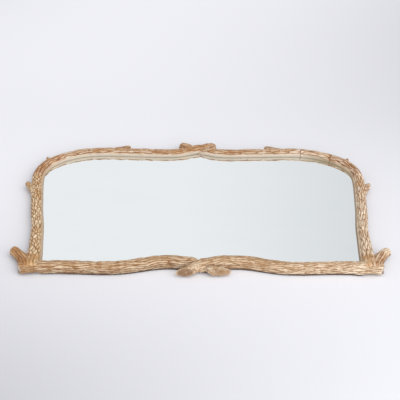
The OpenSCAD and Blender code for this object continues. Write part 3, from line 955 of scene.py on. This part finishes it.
# %% Wash group: where on the frame
# x runs to the right, y to the top, and out is the distance from the middle, on either side.
wash, inlet, outlet = new_group(
    "Lime wash",
    [("Along", "place"), ("Place", "place"), ("Groove", "value"), ("Tone", "value"),
     ("Wall", "value"), ("Sawn", "value"), ("Ring", "value"), ("Low", "value"),
     ("Dark wood", "colour"), ("Light wood", "colour"), ("Lime", "colour"), ("Stain", "colour"),
     ("End wood", "colour"), ("Amount", "value")],
    [("Color", "colour"), ("Roughness", "value"), ("Height", "value")])
ramp = tied(spread, wash)
blend = tied(mix, wash)
times = tied(math_of, wash, "MULTIPLY")
cells = use_group(wash, grain, Along=inlet["Along"], Place=inlet["Place"])
streak, cloud = cells["Streak"], cells["Cloud"]
x, y, z = split(wash, inlet["Place"])
out = math_of(wash, "ABSOLUTE", x)
rightwards = ramp(x, 0.05, 0.70)
far_out = ramp(out, 0.62, 0.68)
corner = times(times(far_out, ramp(y, -0.40, -0.34, 1.0, 0.0)), ramp(y, -0.446, -0.430, 0.6, 1.0))
upper = times(far_out, ramp(y, 0.06, 0.18))
crossing = times(ramp(out, 0.03, 0.09, 1.0, 0.0), ramp(y, -0.40, 0.40, 0.04, -0.20))
left_arch = times(ramp(x, -0.60, -0.42, 1.0, 0.0), ramp(y, 0.21, 0.28))
right_tip = times(ramp(x, 0.700, 0.725), ramp(y, -0.42, -0.39, 1.0, 0.0))
near_cross = times(ramp(y, -0.40, -0.36, 1.0, 0.0), ramp(out, 0.10, 0.20, 1.0, 0.0))

# %% Wash group: how much lime
# More of it lies on the raised tones and towards the right, and none in the grooves.
rubbed = ramp(noise(wash, inlet["Place"], 16.0, 3.0, 0.55), 0.35, 0.65)
lime = math_of(wash, "MULTIPLY_ADD", cloud, 0.55, -0.42)
lime = math_of(wash, "ADD", lime, inlet["Amount"])
lime = add_shares(wash, lime, [
    (streak, 0.28), (inlet["Tone"], 0.40), (rubbed, -0.34), (rightwards, 0.27), (corner, -0.48),
    (upper, -0.20), (left_arch, 0.36), (crossing, 1.0), (right_tip, 0.38), (near_cross, 0.14),
    (inlet["Groove"], -0.55)], clamp=True)

# %% Wash group: colour of the bark
WHITEST = linear(252, 234, 210)
PAINTED_SHADE = linear(66, 47, 34)
colour = blend(streak, inlet["Dark wood"], inlet["Light wood"])
colour = blend(lime, colour, blend(times(rightwards, 0.7), inlet["Lime"], WHITEST))
colour = blend(times(inlet["Groove"], ramp(cloud, 0.0, 1.0, 0.95, 0.55)), colour, inlet["Stain"])
tick = noise(wash, stretch(wash, inlet["Along"], 150, 70, 1), 1.0, 2.0, 0.5)
colour = blend(ramp(tick, 0.62, 0.72, 0.0, 0.6), colour, inlet["Stain"])
# Painted shade: where the Low mask is set the wood turns dark brown, as in shade near the floor,
# at the foot of the wall and on the outer flank.
colour = blend(times(inlet["Low"], 0.94), colour, PAINTED_SHADE)

# %% Wash group: the wall over the glass
# It is planed wood with hardly any bark, greyer in front. Browner and darker on the right is
# painted shade, where the wall faces away from the lamp, and whitest at the top, most on the upper
# half of that wall, is painted light from the front. Its foot gets painted shade as well.
top_wall_painted_light = blend(ramp(z, 0.025, 0.036), linear(196, 183, 166), linear(221, 210, 194))
wall_colour = blend(ramp(y, 0.20, 0.36), linear(190, 166, 142), top_wall_painted_light)
wall_colour = blend(ramp(cloud, 0.2, 1.0, 0.0, 0.3), wall_colour, linear(214, 190, 160))
right_wall_painted_shade = blend(ramp(y, -0.20, 0.02), linear(146, 122, 98), linear(172, 149, 126))
right_wall_painted_shade = blend(ramp(y, 0.10, 0.26), right_wall_painted_shade, linear(163, 145, 114))
wall_colour = blend(ramp(x, 0.44, 0.60, 0.0, 0.85), wall_colour, right_wall_painted_shade)
# Painted shade at the foot of the wall, by the glass.
wall_colour = blend(inlet["Low"], wall_colour, linear(122, 100, 78))
colour = blend(times(inlet["Wall"], 0.9), colour, wall_colour)

# %% Wash group: the sawn ends
# A sawn end has year rings, a dark heart and a pale rim. Ring is 0 at its heart and 1 outside.
YEAR_RINGS = 42.0
ring = inlet["Ring"]
rings = ramp(math_of(wash, "SINE", times(ring, YEAR_RINGS)), -0.6, 0.9, 0.0, 0.50)
end_colour = blend(rings, inlet["End wood"], inlet["Light wood"])
end_colour = blend(ramp(ring, 0.1, 0.7, 0.55, 0.0), end_colour, inlet["Stain"])
end_colour = blend(ramp(ring, 0.78, 0.92, 0.0, 0.4), end_colour, linear(206, 184, 166))
end_colour = blend(ramp(cloud, 0.5, 1.0, 0.0, 0.45), end_colour, inlet["Lime"])
# At the corners the sawn end is painted dark near the floor, where shade falls, and pale above.
corner_end_shaded = blend(ramp(z, 0.014, 0.034), linear(100, 84, 72), linear(216, 202, 184))
end_colour = blend(times(far_out, 0.8), end_colour, corner_end_shaded)
colour = blend(inlet["Sawn"], colour, end_colour)
wash.links.new(colour, outlet["Color"])
wash.links.new(ramp(lime, 0.0, 1.0, 0.50, 0.78), outlet["Roughness"])
wash.links.new(math_of(wash, "MULTIPLY_ADD", streak, 0.6, cells["Pore"]), outlet["Height"])
print("nodes in the grain and the wash:", len(grain.nodes), len(wash.nodes))


# %% Limed wood for each kind of branch
def limed_wood(name, dark, light, lime_colour, stain, end_wood, amount):
    """The finish of one kind of branch: its two wood tones, the lime, the stain in the grooves,
    the sawn wood, and how much lime is left on it."""
    material, tree, shader = new_material(name)
    along = tree.nodes.new("ShaderNodeUVMap")
    along.uv_map = "along"
    stored = {key.capitalize(): attribute(tree, key) for key in MASKS}
    out = use_group(
        tree, wash, Along=along.outputs[0], Place=object_place(tree), **stored,
        Dark_wood=linear(*dark), Light_wood=linear(*light), Lime=linear(*lime_colour),
        Stain=linear(*stain), End_wood=linear(*end_wood), Amount=amount)
    shader.inputs["Specular IOR Level"].default_value = 0.35
    finish_with(tree, shader, out["Color"], out["Roughness"], out["Height"], 0.35, 0.0006)
    return material


STAIN = (118, 75, 42)
STILE_END_WOOD = (176, 140, 104)
WOODS = {
    "left stile": ((176, 130, 80), (208, 166, 116), (240, 220, 188), STAIN, STILE_END_WOOD, 0.47),
    "right stile": ((184, 138, 92), (212, 168, 122), (248, 230, 204), (122, 82, 52),
                    STILE_END_WOOD, 0.40),
    "left rail": ((165, 123, 83), (194, 158, 118), (226, 206, 178), STAIN, (154, 124, 94), 0.38),
    "right rail": ((166, 126, 88), (197, 162, 122), (226, 205, 176), (144, 106, 76),
                   (118, 88, 68), 0.38),
    "top wood": ((162, 114, 73), (193, 150, 108), (228, 211, 188), STAIN, (155, 120, 86), 0.32),
    "shoulder wood": ((151, 100, 60), (181, 130, 86), (222, 192, 160), STAIN, (206, 190, 174),
                      0.36),
    "stub wood": ((154, 102, 58), (186, 136, 88), (226, 192, 150), (88, 54, 30), (214, 190, 158),
                  0.42)}
woods = {kind: limed_wood("limed " + kind, *values) for kind, values in WOODS.items()}
# The first words that are found in the name of a piece choose its wood.
CHOICE = (("stub", "stub wood"), ("top_corner", "shoulder wood"), ("top_", "top wood"),
          ("shoulder_twig", "shoulder wood"), ("side_twig_right", "shoulder wood"),
          ("bottom_rail_right", "right rail"), ("bottom_rail_left", "left rail"),
          ("right", "right stile"), ("left", "left stile"))
for name, piece in pieces.items():
    kind = next(kind for words, kind in CHOICE if words in name)
    piece.data.materials.append(woods[kind])
    print("%-22s %s" % (name, kind))

# %% [markdown]
# ## Silvered glass
# A mirror is glass with silver behind it. A metal that reflects nearly everything, a little
# less red than green, gives the same picture with less noise. Real glass is never quite
# clean, so faint wipe marks change its roughness.

# %% Mirror
mirror, tree, shader = new_material("silvered glass")
smear = noise(tree, stretch(tree, object_place(tree), 3.0, 9.0, 1.0), 1.0, 4.0, 0.6)
tint = mix(tree, spread(tree, smear, 0.3, 0.7), (0.905, 0.935, 0.93, 1), (0.89, 0.925, 0.92, 1))
tree.links.new(tint, shader.inputs["Base Color"])
shader.inputs["Metallic"].default_value = 1.0
tree.links.new(spread(tree, smear, 0.45, 0.85, 0.006, 0.03), shader.inputs["Roughness"])
print("mirror:", mirror.name, "with", len(tree.nodes), "nodes")

# %% [markdown]
# ## The back
# The board, the hangers, the screws and the bumpers are seen only from behind. Their shapes are
# right in the CAD model, so they keep them and only get a finish. Plywood shows long figure
# that runs across the frame; the metals are brushed; the rubber is dull with specks of dust.

# %% Backing board
plywood, tree, shader = new_material("backing board")
place = object_place(tree)
figure = noise(tree, stretch(tree, place, 2.2, 34, 1), 1.0, 5.0, 0.6)
pores = noise(tree, stretch(tree, place, 30, 900, 1), 1.0, 2.0, 0.5)
wood = mix(tree, spread(tree, figure, 0.3, 0.7), linear(196, 158, 112), linear(224, 192, 150))
wood = mix(tree, spread(tree, pores, 0.5, 0.75, 0.0, 0.45), wood, linear(150, 112, 74))
finish_with(tree, shader, wood, spread(tree, pores, 0.3, 0.8, 0.6, 0.8), pores, 0.3, 0.0003)

# %% Dowels
beech, tree, shader = new_material("dowel beech")
pores = noise(tree, object_place(tree), 900.0, 3.0, 0.6)
wood = mix(tree, spread(tree, pores, 0.3, 0.7), linear(206, 170, 128), linear(226, 196, 158))
finish_with(tree, shader, wood, spread(tree, pores, 0.3, 0.8, 0.55, 0.75), pores, 0.2, 0.0002)


# %% Metals and rubber
def metal(name, pale, dull, rough):
    """A worn metal: dull cloudy patches over a pale ground, rougher where it is dull."""
    material, tree, shader = new_material(name)
    place = object_place(tree)
    cloud = noise(tree, place, 240.0, 4.0, 0.6)
    scratch = noise(tree, stretch(tree, place, 900, 120, 400), 1.0, 2.0, 0.5)
    worn = spread(tree, cloud, 0.35, 0.65)
    shader.inputs["Metallic"].default_value = 1.0
    finish_with(tree, shader, mix(tree, worn, pale, dull),
                spread(tree, worn, 0.0, 1.0, rough, rough + 0.18), scratch, 0.15, 0.0001)
    return material


zinc = metal("zinc steel", linear(205, 208, 212), linear(168, 172, 178), 0.28)
brass = metal("screw brass", linear(222, 190, 116), linear(176, 140, 78), 0.30)
rubber, tree, shader = new_material("bumper rubber")
specks = noise(tree, object_place(tree), 600.0, 4.0, 0.7)
dusty = mix(tree, spread(tree, specks, 0.55, 0.75), linear(52, 52, 54), linear(96, 94, 92))
finish_with(tree, shader, dusty, spread(tree, specks, 0.3, 0.8, 0.65, 0.9), specks, 0.3, 0.0003)

# %% Finishes on the CAD pieces
FINISH = {"mirror_glass": mirror, "backing_board": plywood, "backing_screws": brass,
          "joint_dowels": beech, "twig_dowels": beech, "hanger_strap_left": zinc,
          "hanger_strap_right": zinc, "hanger_screws": zinc, "hanger_ring_left": zinc,
          "hanger_ring_right": zinc, "wall_bumpers": rubber, "bumper_screws": zinc}
for name, finish in FINISH.items():
    if not nodes[name].data.materials:
        nodes[name].data.materials.append(finish)
    for slot in nodes[name].material_slots:
        slot.material = finish
print("CAD pieces with a finish:", len(FINISH), "carved pieces:", len(pieces))

# %% [markdown]
# ## Floor, light and camera
# The mirror lies on a white paper sweep in soft daylight that comes from the front and a little
# from the right. Paper is diffuse. Its colour drifts slowly over the picture: this drift is
# painted light and shade, the uneven light that falls on a real sweep that bends, so it is a sum
# of shares of x, y and their products. A large lamp gives the soft shadow, and a sky that is
# brighter in front lights the front of the branches. What the glass reflects is a plain pale room,
# a little darker on the right.

# %% Floor
FLOOR_HALF = 30.0
FLOOR_TONE = 0.595
mesh = bpy.data.meshes.new("paper_sweep")
mesh.from_pydata([(-FLOOR_HALF, -FLOOR_HALF, 0), (FLOOR_HALF, -FLOOR_HALF, 0),
                  (FLOOR_HALF, FLOOR_HALF, 0), (-FLOOR_HALF, FLOOR_HALF, 0)], [], [(0, 1, 2, 3)])
floor = bpy.data.objects.new("paper_sweep", mesh)
bpy.context.collection.objects.link(floor)
paper, tree, shader = new_material("white paper")
times = tied(math_of, tree, "MULTIPLY")
place = object_place(tree)
x, y = split(tree, place)[:2]
x = math_of(tree, "MINIMUM", math_of(tree, "MAXIMUM", x, -1.2), 1.3)
y = math_of(tree, "MINIMUM", math_of(tree, "MAXIMUM", y, -1.2), 2.0)
xy = times(x, y)
# Painted light and shade: change and beside make the paper lighter or darker over the floor as
# uneven light would, beside lifting a band of paper beside the frame.
beside = times(spread(tree, y, -1.1, -0.3), spread(tree, y, 0.1, 0.9, 1.0, 0.0))
change = add_shares(tree, -0.06, [
    (x, 0.03), (y, 0.065), (xy, -0.363), (times(x, x), -0.095), (times(xy, y), 0.148),
    (times(xy, x), -0.051), (beside, 0.17)])
far = tree.nodes.new("ShaderNodeVectorMath")
far.operation = "LENGTH"
tree.links.new(place, far.inputs[0])
nearness = spread(tree, far.outputs["Value"], 2.2, 4.5, 1.0, 0.0)
tone = math_of(tree, "ADD", times(change, nearness), FLOOR_TONE, clamp=True)
white = mix(tree, tone, linear(211, 210, 215), linear(252, 251, 255))
tree.links.new(white, shader.inputs["Base Color"])
shader.inputs["Roughness"].default_value = 0.9
shader.inputs["Specular IOR Level"].default_value = 0.0
mesh.materials.append(paper)
print("paper: %.0f m across, %d nodes" % (2 * FLOOR_HALF, len(tree.nodes)))

# %% World
SKY = 0.60
world = bpy.data.worlds.new("studio")
bpy.context.scene.world = world
world.use_nodes = True
tree = world.node_tree
tree.nodes.clear()
rays = tree.nodes.new("ShaderNodeLightPath").outputs
sky = tree.nodes.new("ShaderNodeBackground")
sky.inputs["Strength"].default_value = SKY
seen = tree.nodes.new("ShaderNodeBackground")
seen.inputs["Strength"].default_value = 1.0
x, y = split(tree, tree.nodes.new("ShaderNodeTexCoord").outputs["Generated"])[:2]
daylight = mix(tree, spread(tree, y, -1.0, 1.0), (1.50, 1.53, 1.56, 1), (0.42, 0.43, 0.44, 1))
tree.links.new(daylight, sky.inputs["Color"])
room = mix(tree, spread(tree, x, 0.0, 0.25), (0.90, 0.905, 0.935, 1), (0.70, 0.71, 0.74, 1))
backdrop = mix(tree, rays["Is Camera Ray"], room, (0.91, 0.91, 0.935, 1))
tree.links.new(backdrop, seen.inputs["Color"])
looking = math_of(tree, "MAXIMUM", rays["Is Camera Ray"], rays["Is Glossy Ray"])
looking = math_of(tree, "MAXIMUM", looking, rays["Is Transmission Ray"])
choice = tree.nodes.new("ShaderNodeMixShader")
for value, socket in zip((looking, sky.outputs[0], seen.outputs[0]), choice.inputs):
    tree.links.new(value, socket)
output = tree.nodes.new("ShaderNodeOutputWorld")
tree.links.new(choice.outputs[0], output.inputs["Surface"])
print("strength of the sky: %.2f" % SKY)

# %% Lamp
SUN = 1.85
LAMP_FROM = np.array([0.34, -0.60, 0.72])
LAMP_FAR = 4.0


def stand(thing, name, right, up, back, place):
    """Puts a lamp or camera in the scene. The columns of its matrix are where its right, its
    up and its back point, and its place."""
    carrier = bpy.data.objects.new(name, thing)
    bpy.context.collection.objects.link(carrier)
    rows = [[right[k], up[k], back[k], place[k]] for k in range(3)]
    carrier.matrix_world = Matrix(rows + [[0, 0, 0, 1]])
    return carrier


lamp = bpy.data.lights.new("soft window", "SUN")
lamp.energy = SUN
lamp.angle = math.radians(70)
back = LAMP_FROM / np.linalg.norm(LAMP_FROM)
right = np.cross([0, 1, 0], back)
right /= np.linalg.norm(right)
lamp_object = stand(lamp, "soft window", right, np.cross(back, right), back, LAMP_FAR * back)
lamp_object.visible_glossy = False
print("lamp: strength %.2f, from" % SUN, LAMP_FROM)

# %% Camera
CAMERA_AT = (-0.1453, -4.1616, 3.0771)
PITCH = math.radians(36.0)
YAW = math.radians(-2.02)
ROLL = math.radians(1.43)
ahead = np.array([-math.sin(YAW) * math.cos(PITCH), math.cos(YAW) * math.cos(PITCH),
                  -math.sin(PITCH)])
right = np.array([math.cos(YAW), math.sin(YAW), 0.0])
up = np.cross(right, ahead)
right, up = (math.cos(ROLL) * right + math.sin(ROLL) * up,
             math.cos(ROLL) * up - math.sin(ROLL) * right)
camera = bpy.data.cameras.new("camera")
camera.lens = 108.0
camera.sensor_width = 36.0
scene = bpy.context.scene
scene.camera = stand(camera, "camera", right, up, -ahead, CAMERA_AT)
scene.view_settings.view_transform = "Standard"
print("camera: %.0f mm lens at" % camera.lens, CAMERA_AT)
